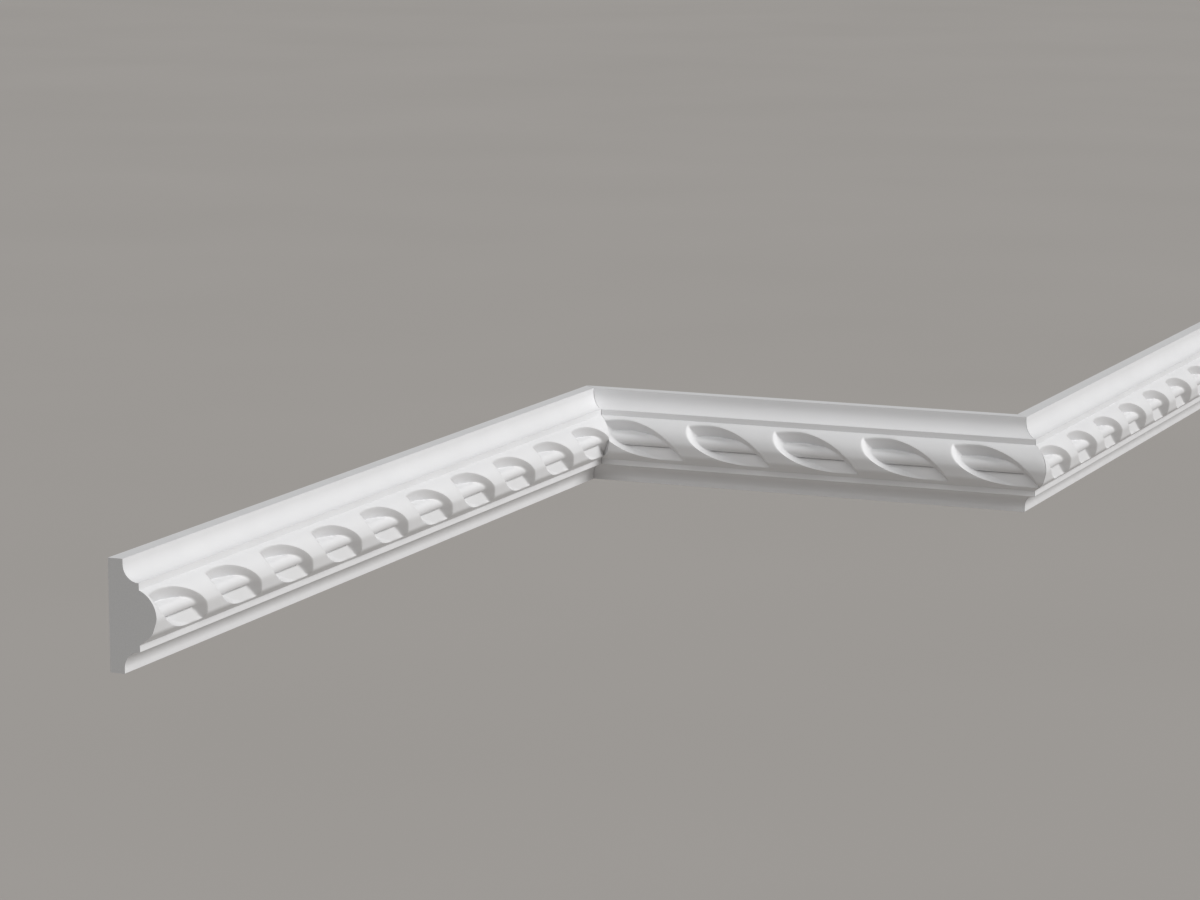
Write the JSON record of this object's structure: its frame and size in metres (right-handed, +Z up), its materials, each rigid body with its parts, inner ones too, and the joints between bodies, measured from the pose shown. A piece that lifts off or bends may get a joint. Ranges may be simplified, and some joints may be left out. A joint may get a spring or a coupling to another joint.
{
  "type": "wall panel moulding",
  "caption": "Wall moulding with a ribbon-and-rod carving between coves and fillets, mitred round an inner and an outer wall corner, flat-backed.",
  "frame": {"origin": "centre of the middle length's flat back, where it is fixed to the wall", "axes": "+Y into the wall that carries the middle length, so the carved face looks along -Y; +X to the right along that wall; +Z up. The left length runs along -Y from the inner corner and the right length along +Y from the outer corner."},
  "size_m": [0.427, 1.4655, 0.08],
  "materials": {
    "primed_polymer": "smooth hard foam with a matt white factory primer"
  },
  "bodies": {
    "root": {"left_length": "primed_polymer", "middle_length": "primed_polymer", "right_length": "primed_polymer"}
  },
  "joints": []
}
